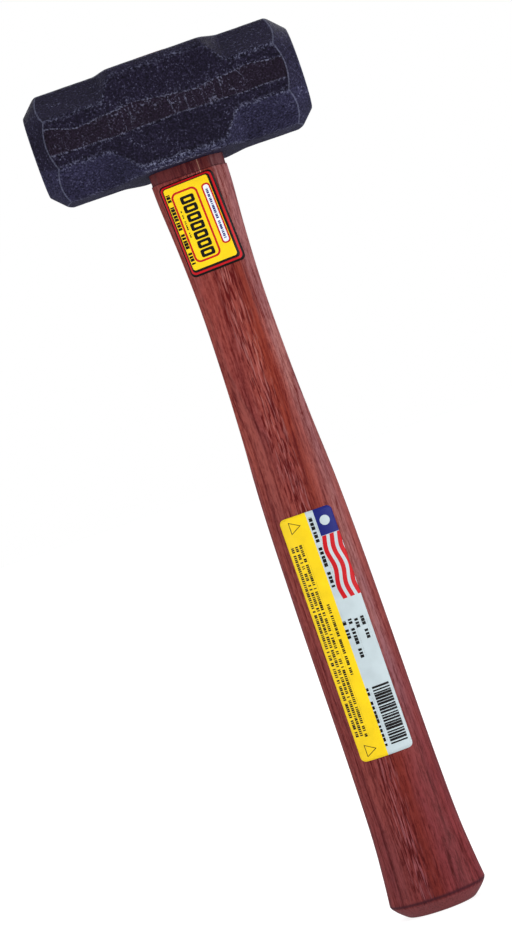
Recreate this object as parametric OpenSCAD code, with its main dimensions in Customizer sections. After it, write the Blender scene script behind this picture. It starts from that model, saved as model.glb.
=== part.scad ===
// Double-faced engineer's hammer: a short hand sledge with a forged steel head, a wooden handle
// wedged into its eye, and two paper labels. Millimetres. The butt of the handle stands on z = 0,
// the handle runs up +Z, and the hammer strikes along X. The labels face -Y.

/* [Handle] */
// Height of the tenon's top above the butt end
overall_len = 358; // [330:1:390]
// Height of the chamfer round the butt
butt_chamfer = 6; // [3:0.5:9]
// Half width of the flat butt end, along X
butt_half_w = 14; // [11:0.5:16]
// Half thickness of the flat butt end, along Y
butt_half_t = 10.4; // [8:0.2:12]
// Leg of the neck's two wide corner facets: front right and back left
wide_facet = 5.6; // [3:0.1:7]
// Leg of the neck's two narrow corner facets: front left and back right
narrow_facet = 2.4; // [1.5:0.1:4]
// Height at which the neck's facets start to show
facet_start = 182; // [150:1:200]
// Height from which the neck's facets are full
facet_full = 246; // [215:1:270]
// Length of the turned-down collar under the head
collar_len = 4.6; // [2:0.1:8]
// Depth of the step at the collar
collar_step = 0.4; // [0.1:0.1:1]
// How far the tenon stands out of the top of the head
tenon_proud = 1.2; // [0.2:0.1:3]

/* [Head] */
// Length between the two striking faces
head_len = 111; // [96:1:130]
// Width across the flats, both ways
head_flats = 44.5; // [40:0.5:50]
// Leg of each corner cut near the striking ends
corner_cut = 12.5; // [10:0.5:14]
// Leg of each corner break beside the eye
cheek_break = 3; // [1.5:0.5:5]
// Half length of the full cheek beside the eye
cheek_half = 15.5; // [12:0.5:20]
// Length over which a corner cut runs out into the cheek
runout_len = 11; // [7:0.5:15]
// Radius of each striking face, with its rounded rim
face_radius = 17; // [15:0.5:19]
// Radius of the rounding on the rim of a face
rim_radius = 1.5; // [0.5:0.1:3]
// Height of the trimmed flash band along each side
flash_height = 8.8; // [5:0.2:12]
// Height of the flash band's middle above the middle of the head
flash_offset = 0; // [-2:0.1:2]
// How far the flash band stands out of the side
flash_proud = 0.25; // [0.1:0.05:0.6]

/* [Eye] */
// Length of the eye along the head, at its waist
eye_len = 26; // [23:0.5:28]
// Width of the eye across the head, at its waist
eye_width = 19; // [16:0.5:21]
// How far the eye widens on every side at its two mouths
eye_flare = 1; // [0.4:0.1:1.6]
// Depth of each flared mouth
flare_depth = 10; // [6:0.5:14]

/* [Wedges] */
// Width of the wooden wedge along the eye
wood_wedge_w = 22; // [18:0.5:23]
// Thickness of the wooden wedge at its top
wood_wedge_t = 3.4; // [2:0.1:4.5]
// How deep the wooden wedge is driven
wood_wedge_depth = 30; // [24:1:36]
// Width of each steel wedge across the eye
steel_wedge_w = 13; // [10:0.5:14]
// Thickness of each steel wedge at its top
steel_wedge_t = 2.6; // [1.6:0.1:3.4]
// How deep each steel wedge is driven
steel_wedge_depth = 20; // [14:1:24]
// Distance of each steel wedge from the middle of the eye
steel_wedge_x = 6; // [4.5:0.5:7]
// Thickness of every wedge at its tip
wedge_tip = 0.6; // [0.4:0.1:1]

/* [Labels] */
// Width of the neck label, measured straight across
neck_label_w = 22.5; // [18:0.5:24]
// Height of the neck label
neck_label_h = 38; // [30:0.5:42]
// Height of the middle of the neck label
neck_label_z = 287.6; // [284:0.2:288]
// Place of the middle of the neck label across the handle
neck_label_x = -1.5; // [-2:0.1:1]
// Width of the grip label, measured straight across
grip_label_w = 21.3; // [18:0.1:24]
// Height of the grip label
grip_label_h = 101; // [80:1:110]
// Height of the middle of the grip label
grip_label_z = 116; // [105:1:125]
// Place of the middle of the grip label across the handle
grip_label_x = -0.8; // [-2:0.1:2]
// Corner radius of both labels
label_corner = 2; // [1:0.1:4]
// Thickness of the label paper
label_thick = 0.15; // [0.1:0.01:0.3]
// Turn of the neck label in its own plane, in degrees, with its top to the left
neck_label_turn = 2.3; // [0:0.1:3]

/* [Hidden] */

head_half = head_len / 2;
flats_half = head_flats / 2;
head_top_z = overall_len - tenon_proud;
head_z = head_top_z - flats_half;
shoulder_z = head_z - flats_half;
collar_z = shoulder_z - collar_len;

// The handle's outline: height above the butt, half width and half thickness.
OUTLINE = [
    [butt_chamfer, 20.1, 15.0],
    [16, 19.1, 14.4],
    [32, 17.9, 13.7],
    [56, 17.3, 13.3],
    [100, 17.1, 13.2],
    [130, 16.9, 13.1],
    [160, 16.5, 12.9],
    [180, 15.9, 12.5],
    [200, 14.7, 11.8],
    [224, 13.8, 11.2],
    [256, 13.4, 10.9],
    [280, 14.2, 11.1],
    [302, 15.6, 11.8],
    [shoulder_z, 15.8, 12.1],
];
RING_POINTS = 44;    // points round the handle
RING_STEP = 7.2;     // height between two rings of the handle
NECK_SQUARENESS = 0.32; // how far the oval is let out where the facets are full
LABEL_GAP = 0.03;    // glue line between a label and the wood
LABEL_COLUMNS = 14;  // steps across a label
CORNER_STEPS = 3;    // steps round a label's corner
RUNOUT_STEPS = 8;    // steps along a corner cut's run-out
EDGE_STEPS = 4;      // steps round the rim of a striking face
TENON_ROOT = 0.5;    // how far the tenon reaches down into the shoulder

function clamp(v, low, high) = min(max(v, low), high);
function ease(t) = let (c = clamp(t, 0, 1)) c * c * (3 - 2 * c);

// A smooth curve through column k of a table whose column 0 rises.
function span(table, at, i = 0) =
    i >= len(table) - 2 || at < table[i + 1][0] ? i : span(table, at, i + 1);
function slope(table, i, k) =
    let (a = table[max(i - 1, 0)], b = table[min(i + 1, len(table) - 1)])
    (b[k] - a[k]) / (b[0] - a[0]);
function curve(table, at, k) =
    let (i = span(table, at), a = table[i], b = table[i + 1], run = b[0] - a[0],
         t = (at - a[0]) / run)
    (2 * pow(t, 3) - 3 * pow(t, 2) + 1) * a[k]
    + (pow(t, 3) - 2 * pow(t, 2) + t) * run * slope(table, i, k)
    + (3 * pow(t, 2) - 2 * pow(t, 3)) * b[k]
    + (pow(t, 3) - pow(t, 2)) * run * slope(table, i + 1, k);

// The handle's section is an oval cut by flats: front, back, both sides and the four corners.
// The oval is let out towards the neck, so the grip is oval and the neck has eight facets.
function step_in(z) = z > collar_z ? collar_step : 0;
function half_width(z) = curve(OUTLINE, z, 1) - step_in(z);
function half_thick(z) = curve(OUTLINE, z, 2) - step_in(z);
function let_out(z) = 1 + NECK_SQUARENESS * ease((z - facet_start) / (facet_full - facet_start));
function facet(x, y) = x * y < 0 ? wide_facet : narrow_facet;
function section_radius(a, w, t, k) =
    let (c = abs(cos(a)), s = abs(sin(a)), tiny = 0.000001)
    min(k / sqrt(pow(c / w, 2) + pow(s / t, 2)),
        w / max(c, tiny), t / max(s, tiny), (w + t - facet(cos(a), sin(a))) / (c + s));
function section(w, t, k, z) = [
    for (i = [0:RING_POINTS - 1])
        let (a = 360 * i / RING_POINTS, r = section_radius(a, w, t, k))
        [r * cos(a), r * sin(a), z]
];

// Where the front of the handle lies at a place across it and a height.
function front_y(x, z) =
    let (w = half_width(z), t = half_thick(z), k = let_out(z))
    -min(t * sqrt(max(k * k - pow(x / w, 2), 0)), t, w + t - facet(x, -1) - abs(x));

// The walls between rings that all have n points, and the lids that close a solid ring or a sheet.
function walls(rings, n) = [
    for (r = [0:rings - 2], i = [0:n - 1], half = [0, 1])
        let (j = (i + 1) % n, low = r * n, high = low + n)
        half == 0 ? [low + i, high + i, high + j] : [low + i, high + j, low + j]
];
function fan(first, n, centre, up) = [
    for (i = [0:n - 1])
        let (a = first + i, b = first + (i + 1) % n)
        up ? [centre, b, a] : [centre, a, b]
];
function strip(first, n, up) = [
    for (i = [0:n / 2 - 2])
        let (quad = [first + i, first + i + 1, first + n - 2 - i, first + n - 1 - i])
        up ? [for (k = [3:-1:0]) quad[k]] : quad
];

// A solid through rings that stand one above the other round the Z axis.
module round_skin(rings) {
    n = len(rings[0]);
    count = len(rings) * n;
    polyhedron(
        points = concat([for (ring = rings) each ring],
                        [[0, 0, rings[0][0][2]], [0, 0, rings[len(rings) - 1][0][2]]]),
        faces = concat(walls(len(rings), n), fan(0, n, count, false),
                       fan(count - n, n, count + 1, true)));
}

// A sheet through rings whose second half runs back behind the first.
module sheet_skin(rings) {
    n = len(rings[0]);
    polyhedron(
        points = [for (ring = rings) each ring],
        faces = concat(walls(len(rings), n), strip(0, n, false),
                       strip((len(rings) - 1) * n, n, true)));
}

// A stadium standing on z = 0 that widens evenly by flare on every side over its height.
module stadium(length, width, height, flare) {
    shift = (length - width) / 2;
    for (side = [-1, 1])
        translate([side * shift, 0, 0])
            cylinder(r1 = width / 2, r2 = width / 2 + flare, h = height, $fn = 64);
    rotate([90, 0, 90])
        linear_extrude(2 * shift, center = true)
            polygon([[-width / 2, 0], [width / 2, 0],
                     [width / 2 + flare, height], [-width / 2 - flare, height]]);
}

// The eye, flared at both mouths, from z = low to z = high about the head's middle.
module eye(low, high) {
    waist = flats_half - flare_depth;
    translate([0, 0, -waist]) stadium(eye_len, eye_width, 2 * waist, 0);
    for (end = [-1, 1])
        mirror([0, 0, end < 0 ? 1 : 0])
            translate([0, 0, waist])
                stadium(eye_len, eye_width, flare_depth, eye_flare);
    mouth_len = eye_len + 2 * eye_flare;
    mouth_width = eye_width + 2 * eye_flare;
    translate([0, 0, low])
        stadium(mouth_len, mouth_width, -flats_half - low, 0);
    translate([0, 0, flats_half])
        stadium(mouth_len, mouth_width, high - flats_half, 0);
}

// What a corner cut takes away: flat near the ends, running out beside the eye.
module corner_cutter() {
    deep = (head_flats - corner_cut) / sqrt(2);
    shallow = (head_flats - cheek_break) / sqrt(2);
    reach = head_flats;
    runout = [for (i = [0:RUNOUT_STEPS])
        let (t = i / RUNOUT_STEPS)
        [cheek_half + runout_len * t, shallow + (deep - shallow) * (1 - cos(180 * t)) / 2]];
    linear_extrude(head_flats, center = true)
        polygon(concat(
            [[-head_len, reach], [-head_len, deep]],
            [for (i = [RUNOUT_STEPS:-1:0]) [-runout[i][0], runout[i][1]]],
            runout,
            [[head_len, deep], [head_len, reach]]));
}

// A turned body that gives both ends their chamfer and the rounded rim of the face.
module end_envelope() {
    wide = head_flats * 0.75;
    turn = 45;
    // The rim's arc ends square to the face and along the chamfer.
    flat_radius = face_radius - rim_radius * sin(turn);
    rim = [for (i = [0:EDGE_STEPS])
        let (a = turn * i / EDGE_STEPS)
        [flat_radius + rim_radius * sin(a), head_half - rim_radius * (1 - cos(a))]];
    last = rim[EDGE_STEPS];
    rotate([0, 90, 0])
        rotate_extrude($fn = 96)
            polygon(concat(
                [[0, -head_half]],
                [for (p = rim) [p[0], -p[1]]],
                [[wide, -last[1] + wide - last[0]], [wide, last[1] - wide + last[0]]],
                [for (i = [EDGE_STEPS:-1:0]) rim[i]],
                [[0, head_half]]));
}

module head() {
    color("#26262f")
    translate([0, 0, head_z])
    difference() {
        intersection() {
            union() {
                difference() {
                    cube([head_len, head_flats, head_flats], center = true);
                    for (corner = [45:90:315])
                        rotate([corner, 0, 0]) corner_cutter();
                }
                translate([0, 0, flash_offset])
                    cube([head_len, head_flats + 2 * flash_proud, flash_height], center = true);
            }
            end_envelope();
        }
        eye(-flats_half - 1, flats_half + 1);
    }
}

// A wedge that hangs from z = 0, wide along X, with its thickness along Y.
module wedge(width, thick, depth) {
    rotate([90, 0, 90])
        linear_extrude(width, center = true)
            polygon([[-thick / 2, 0], [-wedge_tip / 2, -depth],
                     [wedge_tip / 2, -depth], [thick / 2, 0]]);
}

module steel_wedge(side) {
    translate([side * steel_wedge_x, 0, overall_len])
        rotate([0, 0, 90])
            wedge(steel_wedge_w, steel_wedge_t, steel_wedge_depth);
}

module wooden_wedge() {
    translate([0, 0, overall_len]) wedge(wood_wedge_w, wood_wedge_t, wood_wedge_depth);
}

module steel_wedge_left() {
    color("#6f7378") steel_wedge(-1);
}

module steel_wedge_right() {
    color("#6f7378") steel_wedge(1);
}

module wood_wedge() {
    color("#c9a878")
    difference() {
        wooden_wedge();
        for (side = [-1, 1]) steel_wedge(side);
    }
}

// The handle below the head, and the tenon that fills the eye round the wedges.
module handle() {
    steps = ceil((collar_z - butt_chamfer) / RING_STEP);
    body_heights = [for (i = [0:steps]) butt_chamfer + (collar_z - butt_chamfer) * i / steps];
    heights = concat(body_heights, [collar_z + 0.05, shoulder_z]);
    rings = concat(
        [section(butt_half_w, butt_half_t, 1, 0)],
        [for (z = heights) section(half_width(z), half_thick(z), let_out(z), z)]);
    color("#7a3a2c") {
        round_skin(rings);
        difference() {
            translate([0, 0, head_z]) eye(-flats_half - TENON_ROOT, flats_half + tenon_proud);
            wooden_wedge();
            for (side = [-1, 1]) steel_wedge(side);
        }
    }
}

// One layer of a label: a row of points across the handle, lifted off the wood.
function label_row(x, z, half, turn, lift) = [
    for (i = [0:LABEL_COLUMNS])
        let (aside = half * (2 * i / LABEL_COLUMNS - 1), across = x + aside, up = z + aside * tan(turn))
        [across, front_y(across, up) - lift, up]
];

// Half the width of a label with round corners, at a height from its middle.
function label_half(w, h, from_middle) =
    let (over = max(abs(from_middle) - h / 2 + label_corner, 0))
    w / 2 - label_corner + sqrt(max(pow(label_corner, 2) - pow(over, 2), 0));

// A label is a thin sheet that follows the front of the handle.
module label(w, h, x, z, turn, rows) {
    corner = [for (i = [0:CORNER_STEPS - 1]) label_corner * (1 - cos(90 * i / CORNER_STEPS))];
    straight = h - 2 * label_corner;
    from_middle = concat(
        [for (c = corner) -h / 2 + c],
        [for (i = [0:rows]) -straight / 2 + straight * i / rows],
        [for (i = [CORNER_STEPS - 1:-1:0]) h / 2 - corner[i]]);
    rings = [
        for (d = from_middle)
            let (mid = x - d * tan(turn), half = label_half(w, h, d),
                 inner = label_row(mid, z + d, half, turn, LABEL_GAP),
                 outer = label_row(mid, z + d, half, turn, LABEL_GAP + label_thick))
            concat(outer, [for (i = [LABEL_COLUMNS:-1:0]) inner[i]])
    ];
    sheet_skin(rings);
}

module neck_label() {
    color("#f0c81e")
    label(neck_label_w, neck_label_h, neck_label_x, neck_label_z, neck_label_turn, 8);
}

module grip_label() {
    color("#e6ecf2")
    label(grip_label_w, grip_label_h, grip_label_x, grip_label_z, 0, 14);
}

head();
handle();
wood_wedge();
steel_wedge_left();
steel_wedge_right();
neck_label();
grip_label();
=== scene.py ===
"""The looks of a short hand sledge: forged head, hickory handle, wedges and paper labels."""

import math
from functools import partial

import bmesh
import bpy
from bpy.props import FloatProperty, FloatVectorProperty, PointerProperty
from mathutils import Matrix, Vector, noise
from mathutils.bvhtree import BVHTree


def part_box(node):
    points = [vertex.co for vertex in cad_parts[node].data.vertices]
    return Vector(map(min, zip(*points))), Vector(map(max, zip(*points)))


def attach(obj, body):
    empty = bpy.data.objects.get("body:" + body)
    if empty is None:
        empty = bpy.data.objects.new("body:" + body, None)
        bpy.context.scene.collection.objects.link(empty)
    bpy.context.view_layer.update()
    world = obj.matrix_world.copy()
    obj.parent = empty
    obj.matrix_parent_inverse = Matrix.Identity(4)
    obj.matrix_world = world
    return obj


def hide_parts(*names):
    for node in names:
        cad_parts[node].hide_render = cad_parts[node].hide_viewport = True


bl_info = {
    "name": "Engineer's hammer",
    "version": (1, 0, 0),
    "blender": (4, 5, 0),
    "location": "3D View > Sidebar > Hammer",
    "description": "Builds the visible pieces of a wedged, double-faced hand sledge round its frame",
    "category": "Object",
}

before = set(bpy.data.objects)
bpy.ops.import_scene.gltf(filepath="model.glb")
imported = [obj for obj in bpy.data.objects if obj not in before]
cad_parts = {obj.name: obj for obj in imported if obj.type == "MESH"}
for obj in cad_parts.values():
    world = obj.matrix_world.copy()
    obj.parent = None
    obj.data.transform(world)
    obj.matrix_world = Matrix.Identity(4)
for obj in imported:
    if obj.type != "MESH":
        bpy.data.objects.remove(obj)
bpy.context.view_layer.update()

MM = 0.001
BODY = "root"
STEEL_WEDGES = ("steel_wedge_left", "steel_wedge_right")

# Places and sizes of the frame's pieces, in millimetres.
HEAD_BOX = [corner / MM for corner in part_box("head")]
HEAD_HALF = HEAD_BOX[1].x
FLATS_HALF = (HEAD_BOX[1].z - HEAD_BOX[0].z) / 2
HEAD_Z = (HEAD_BOX[1].z + HEAD_BOX[0].z) / 2
FLASH_PROUD = HEAD_BOX[1].y - FLATS_HALF
SHOULDER_Z = HEAD_BOX[0].z
TENON_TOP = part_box("handle")[1].z / MM

# Faces round each lofted body.
HEAD_ROUND, EYE_ROUND, HANDLE_ROUND = 256, 96, 176
# Gaps between the tenon and its eye, the wedges and their slots, and a label and the wood.
TENON_GAP = LABEL_GAP = 0.03
SLOT_GAP = 0.02
WEDGE_TIP = 0.6
# How far a rounded rim draws in the cone that it meets: the tangent of half of 45 degrees.
RIM_DRAW = 0.4142
NEARLY_ZERO, NO_LIMIT = 1e-6, 1e3

# How far from the middle each corner cut ends, and from where on it is full: (side, up, along).
RUNOUTS = {
    (-1, 1, -1): (17.0, 24.5),
    (-1, 1, 1): (19.5, 29.0),
    (-1, -1, -1): (14.0, 28.0),
    (-1, -1, 1): (17.0, 27.5),
    (1, 1, -1): (18.5, 28.5),
    (1, 1, 1): (17.0, 25.0),
    (1, -1, -1): (16.5, 27.5),
    (1, -1, 1): (15.0, 27.5),
}


def linear(code):
    """An sRGB hex colour as linear RGBA."""
    parts = [int(code[i:i + 2], 16) / 255 for i in (1, 3, 5)]
    return [c / 12.92 if c <= 0.04045 else ((c + 0.055) / 1.055) ** 2.4 for c in parts] + [1.0]


def length(name, description, millimetres):
    """A property that holds a length in metres."""
    return FloatProperty(name=name, description=description, default=millimetres * MM,
                         min=0, subtype="DISTANCE", unit="LENGTH", precision=4)


def colour(name, description, code):
    """A property that holds a linear colour."""
    return FloatVectorProperty(name=name, description=description, default=linear(code),
                               min=0, max=1, size=4, subtype="COLOR")


class HeadSettings(bpy.types.PropertyGroup):
    """Sizes and colours of the forged head."""

    corner_cut: length("Corner cut", "Leg of each corner cut near the striking ends", 12.5)
    top_break: length("Top break", "Leg of the break along the top of each cheek", 3.5)
    foot_break: length("Foot break", "Leg of the break along the foot of each cheek", 2.2)
    edge_round: length("Edge rounding", "How far from an edge the forging is rounded", 1.2)
    face_radius: length("Face radius", "Radius of a striking face with its rim", 17)
    rim_radius: length("Rim radius", "Radius of the rounding on a face's rim", 1.5)
    crown: length("Crown", "How much a striking face drops towards its rim", 0.15)
    flash_top: length("Flash top", "Height of the flash band's upper line above the middle", 4.3)
    flash_foot: length("Flash foot", "Depth of the flash band's lower line below the middle", 4.4)
    unevenness: length("Unevenness", "Depth of the hollows that the hammering left", 0.25)
    scale: colour("Forging scale", "Black oxide of the cheeks", "#161222")
    # Painted light: this lighter scale is laid most on the lower cuts and the right striking end.
    cut_scale_and_painted_light: colour("Corner scale", "Bluer oxide of the corner cuts", "#222035")
    flash: colour("Flash", "Brownish scale on the trimmed flash band", "#19111e")
    worn: colour("Worn edge", "Bare steel where an edge has rubbed", "#7c8098")


class HandleSettings(bpy.types.PropertyGroup):
    """Sizes and colours of the hickory handle."""

    wide_facet: length("Wide facet", "Leg of the front right and back left neck facets", 5.6)
    narrow_facet: length("Narrow facet", "Leg of the front left and back right neck facets", 2.4)
    facet_start: length("Facet start", "Height at which the neck's facets start", 182)
    facet_full: length("Facet full", "Height from which the neck's facets are full", 246)
    edge_round: length("Edge rounding", "How far from an edge the wood is rounded", 1.4)
    rim_z: length("Rim height", "Height at which the butt's chamfer ends", 6)
    butt_width: length("Butt half width", "Half width of the flat butt end", 14)
    butt_thickness: length("Butt half thickness", "Half thickness of the flat butt end", 10.4)
    collar: length("Collar", "Length of the turned-down collar under the head", 4.6)
    collar_step: length("Collar step", "Depth of the step at the collar", 0.4)
    eye_length: length("Eye half length", "Half length of the eye's waist", 13)
    eye_width: length("Eye half width", "Half width of the eye's waist", 9.5)
    eye_flare: length("Eye flare", "How far the eye widens at its two mouths", 1)
    flare_depth: length("Flare depth", "Depth of each flared mouth", 10)
    light: colour("Light grain", "Stained wood between two growth rings", "#843e38")
    dark: colour("Dark grain", "Stained wood along a growth ring", "#520807")
    warm: colour("Warm grain", "Stained heartwood, browner than the rest", "#7a3024")
    # Painted sheen: this pale colour is laid on the neck's right facet and as a painted highlight down the
    # grip's right side.
    thin: colour("Thin stain", "Planed and rubbed wood that took less stain", "#8a5b5a")
    frayed: colour("Frayed grain", "Fibres that the sanding tore, paler than the rest", "#aa6e6a")
    nick: colour("Nick", "Bare wood in the nick on the collar", "#c08a72")
    # A dark line above the butt's chamfer, and the painted shadow of the head on the collar.
    pool: colour("Pooled stain", "Stain that ran together above the chamfer and the collar", "#35101a")
    deep: colour("Deep stain", "What the deeper stain of the butt lets through", "#cdaed4")
    # Multiplied in to darken the wood towards the butt, and on the butt's right as painted shade.
    end_grain: colour("End grain", "Cut ends of the wood", "#6e3638")
    raw: colour("Raw wood", "The wedge's unstained wood", "#c39a6b")


class LabelSettings(bpy.types.PropertyGroup):
    """Sizes and inks of the two labels."""

    corner: length("Corner", "Radius of the labels' corners", 2)
    paper: length("Paper", "Thickness of the paper", 0.14)
    turn: FloatProperty(name="Turn", description="How far the neck label's top is turned to the left",
                        default=math.radians(2.3), subtype="ANGLE", unit="ROTATION")
    white: colour("White", "Bare paper", "#adb9bc")
    pill: colour("Panel white", "White ink of the neck label's panel", "#d6dde2")
    yellow: colour("Yellow", "Yellow ink", "#e3c012")
    red: colour("Red", "Red ink", "#b00c16")
    blue: colour("Blue", "Blue ink", "#141b66")
    black: colour("Black", "Black ink", "#120e0e")


class StageSettings(bpy.types.PropertyGroup):
    """The floor, the lights and the camera."""

    distance: FloatProperty(name="Distance", description="From the camera to the handle's axis",
                            default=1.0765, unit="LENGTH")
    height: FloatProperty(name="Height", description="Camera above the floor",
                          default=0.1881, unit="LENGTH")
    aside: FloatProperty(name="Aside", description="Camera beside the handle's axis",
                         default=-0.0135, unit="LENGTH")
    roll: FloatProperty(name="Roll", description="How far the camera is rolled",
                        default=math.radians(19.13), subtype="ANGLE", unit="ROTATION")
    lens: FloatProperty(name="Lens", description="Focal length on a 36 mm film", default=103)
    floor: colour("Floor", "Frosted top of the light table", "#909090")
    glow: FloatProperty(name="Glow", description="Light that comes up through the floor", default=0.84)


# Shape tools

def ease(share):
    """0 to 1 with a soft start and a soft end."""
    share = min(max(share, 0.0), 1.0)
    return share * share * (3 - 2 * share)


def soft_min(a, b, blend):
    """The smaller of two lengths, rounded off where they are within blend of each other."""
    overlap = max(blend - abs(a - b), 0.0) / blend
    return min(a, b) - overlap * overlap * blend / 4


def sign(value):
    return 1 if value >= 0 else -1


def steps(first, last, spacing):
    """Evenly spaced values from first to last, no further apart than spacing."""
    count = max(1, math.ceil(abs(last - first) / spacing))
    return [first + (last - first) * i / count for i in range(count + 1)]


def loft(stations, segments, point):
    """A closed body: a ring extruded from station to station, its points placed by point()."""
    bm = bmesh.new()
    turn = bm.verts.layers.float.new("turn")
    ring = bmesh.ops.create_circle(bm, segments=segments, radius=1)["verts"]
    for vertex in ring:
        vertex[turn] = math.atan2(vertex.co.y, vertex.co.x)
    edges = bm.edges[:]
    ends = [edges]
    for number, station in enumerate(stations):
        if number:
            made = bmesh.ops.extrude_edge_only(bm, edges=edges)["geom"]
            ring = [part for part in made if isinstance(part, bmesh.types.BMVert)]
            fresh = set(ring)
            edges = [part for part in made
                     if isinstance(part, bmesh.types.BMEdge) and fresh.issuperset(part.verts)]
        for vertex in ring:
            vertex.co = Vector(point(station, vertex[turn])) * MM
    ends.append(edges)
    for end in ends:
        caps = bmesh.ops.contextual_create(bm, geom=end)["faces"]
        bmesh.ops.poke(bm, faces=caps)
    bmesh.ops.recalc_face_normals(bm, faces=bm.faces)
    return bm


def object_from(bm, name):
    """Turns a bmesh into an object at the origin."""
    mesh = bpy.data.meshes.new(name)
    bm.to_mesh(mesh)
    bm.free()
    made = bpy.data.objects.new(name, mesh)
    bpy.context.scene.collection.objects.link(made)
    return made


def carve(piece, cutters):
    """Cuts the cutters out of a piece and removes them."""
    for cutter in cutters:
        modifier = piece.modifiers.new(cutter.name, "BOOLEAN")
        modifier.operation = "DIFFERENCE"
        modifier.solver = "EXACT"
        modifier.object = cutter
    bpy.context.view_layer.update()
    evaluated = piece.evaluated_get(bpy.context.evaluated_depsgraph_get())
    carved = bpy.data.meshes.new_from_object(evaluated)
    piece.modifiers.clear()
    piece.data = carved
    for cutter in cutters:
        bpy.data.objects.remove(cutter)


def shade(piece, crease_degrees):
    """Smooth shading, with creases where the surface turns sharply."""
    piece.data.shade_smooth()
    piece.data.set_sharp_from_angle(angle=math.radians(crease_degrees))


def mark(piece, **values):
    """Stores what each value(point) gives on every vertex, for the piece's material to read."""
    for name, value in values.items():
        layer = piece.data.attributes.new(name, "FLOAT", "POINT")
        for vertex, entry in zip(piece.data.vertices, layer.data):
            entry.value = value(vertex.co / MM)


def settle(piece, slot, material, *nodes):
    """Gives a finished piece its finish and its body, and hides the frame nodes that it stands for."""
    piece.data.materials.clear()
    piece.data.materials.append(material)
    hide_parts(*nodes)
    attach(piece, BODY)


# Material tools

def fill(tree, made, inputs):
    """Links or sets a node's inputs, given in the sockets' order, or by name or number."""
    by_key = inputs if isinstance(inputs, dict) else dict(enumerate(inputs))
    for key, value in by_key.items():
        if isinstance(value, bpy.types.NodeSocket):
            tree.links.new(value, made.inputs[key])
        else:
            made.inputs[key].default_value = value


def node(tree, kind, inputs=(), give=None, stops=(), **settings):
    """Adds a node with its settings and links, and gives its named output, or its first live one."""
    made = tree.nodes.new(f"ShaderNode{kind}")
    for name, value in settings.items():
        setattr(made, name, value)
    fill(tree, made, inputs)
    for number, (place, shade_of) in enumerate(stops):
        elements = made.color_ramp.elements
        element = elements[number] if number < 2 else elements.new(place)
        element.position = place
        element.color = shade_of
    if give:
        return made.outputs[give]
    return next((output for output in made.outputs if output.enabled), None)


def joined(tree, operation, *values):
    """Joins values in turn by one operation, after mapping those that come with their ranges."""
    sockets = [node(tree, "MapRange", value) if isinstance(value, tuple) else value for value in values]
    result = sockets[0]
    for socket in sockets[1:]:
        result = node(tree, "Math", (result, socket), operation=operation)
    return result


def apart(tree, one, other):
    """How far apart two values are."""
    gap = node(tree, "Math", (one, other), operation="SUBTRACT")
    return node(tree, "Math", (gap,), operation="ABSOLUTE")


def layered(tree, under, layers, blend="MIX"):
    """Lays (mask, colour) layers over a colour, one over the other."""
    factor, below, above = 0, 6, 7
    for mask, over in layers:
        under = node(tree, "Mix", {factor: mask, below: under, above: over}, data_type="RGBA",
                     blend_type=blend)
    return under


def new_material(name):
    """An empty node material, its tree and its shader."""
    material = bpy.data.materials.new(name)
    material.use_nodes = True
    tree = material.node_tree
    return material, tree, tree.nodes["Principled BSDF"]


def grey(value):
    return (value, value, value, 1.0)


# The head

def corner_leg(head, x, side, up):
    """Leg of a corner's cut at a place along the head, in millimetres."""
    gone, full = RUNOUTS[side, up, sign(x)]
    broken = (head.top_break if up > 0 else head.foot_break) / MM
    return broken + (head.corner_cut / MM - broken) * ease((abs(x) - gone) / (full - gone))


def flash_lines(head, x):
    """Heights of the flash band's upper and lower lines above the head's middle."""
    wave = 1.1 * math.cos((x + 12) * 0.131) + 0.2 * math.sin(x * 0.4) - 0.012 * x
    wave += 1.8 * math.exp(-((x + 47) / 6) ** 2)
    drift = 0.25 * math.sin(x * 0.11 + 1.0) + 0.12 * math.sin(x * 0.37)
    return head.flash_top / MM + wave, -head.flash_foot / MM + drift


def cone_radius(head, x):
    """Radius of the chamfer cone round a striking end."""
    return head.face_radius / MM + HEAD_HALF - abs(x) - RIM_DRAW * head.rim_radius / MM


def head_point(head, station, angle):
    """The forging's surface at a station (x, limiting radius) and an angle round the X axis."""
    x, limit = station
    across, rise = math.cos(angle), math.sin(angle)
    side, up = sign(across), sign(rise)
    blend = head.edge_round / MM
    flat = FLATS_HALF / max(abs(across), NEARLY_ZERO)
    height = flat * rise
    top, foot = flash_lines(head, x)
    band = ease((top - height) / 0.5) * ease((height - foot) / 0.5)
    flat += FLASH_PROUD * band
    lid = FLATS_HALF / max(abs(rise), NEARLY_ZERO)
    leg = corner_leg(head, x, side, up)
    corner = (2 * FLATS_HALF - leg) / (abs(across) + abs(rise))
    radius = soft_min(soft_min(flat, lid, blend), corner, blend)
    hollow = noise.noise(Vector((x * 0.09, across * 1.6, rise * 1.6)))
    dent = noise.noise(Vector((x * 0.33, across * 6.0, rise * 6.0)))
    radius -= head.unevenness / MM * (0.35 + 0.3 * hollow + 0.16 * dent) * (1 - 0.5 * band)
    radius = min(soft_min(radius, cone_radius(head, x), 0.5), limit)
    return x, radius * across, HEAD_Z + radius * rise


def head_stations(head):
    """Stations from one striking face to the other, as (x, limiting radius)."""
    rim = head.rim_radius / MM
    face = head.face_radius / MM - rim * math.sin(math.radians(45))
    crown = head.crown / MM
    half = [(HEAD_HALF - crown * share ** 2, face * share)
            for share in (0.08, 0.25, 0.45, 0.65, 0.82, 0.94, 1.0)]
    for i in range(1, 7):
        turned = math.radians(45 * i / 6)
        half.append((HEAD_HALF - crown - rim * (1 - math.cos(turned)),
                     face + rim * math.sin(turned)))
    middle = half[-1][0] - 0.3
    body = [(x, NO_LIMIT) for x in steps(middle, -middle, 0.5)]
    return half + body + [(-x, limit) for x, limit in reversed(half)]


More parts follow.
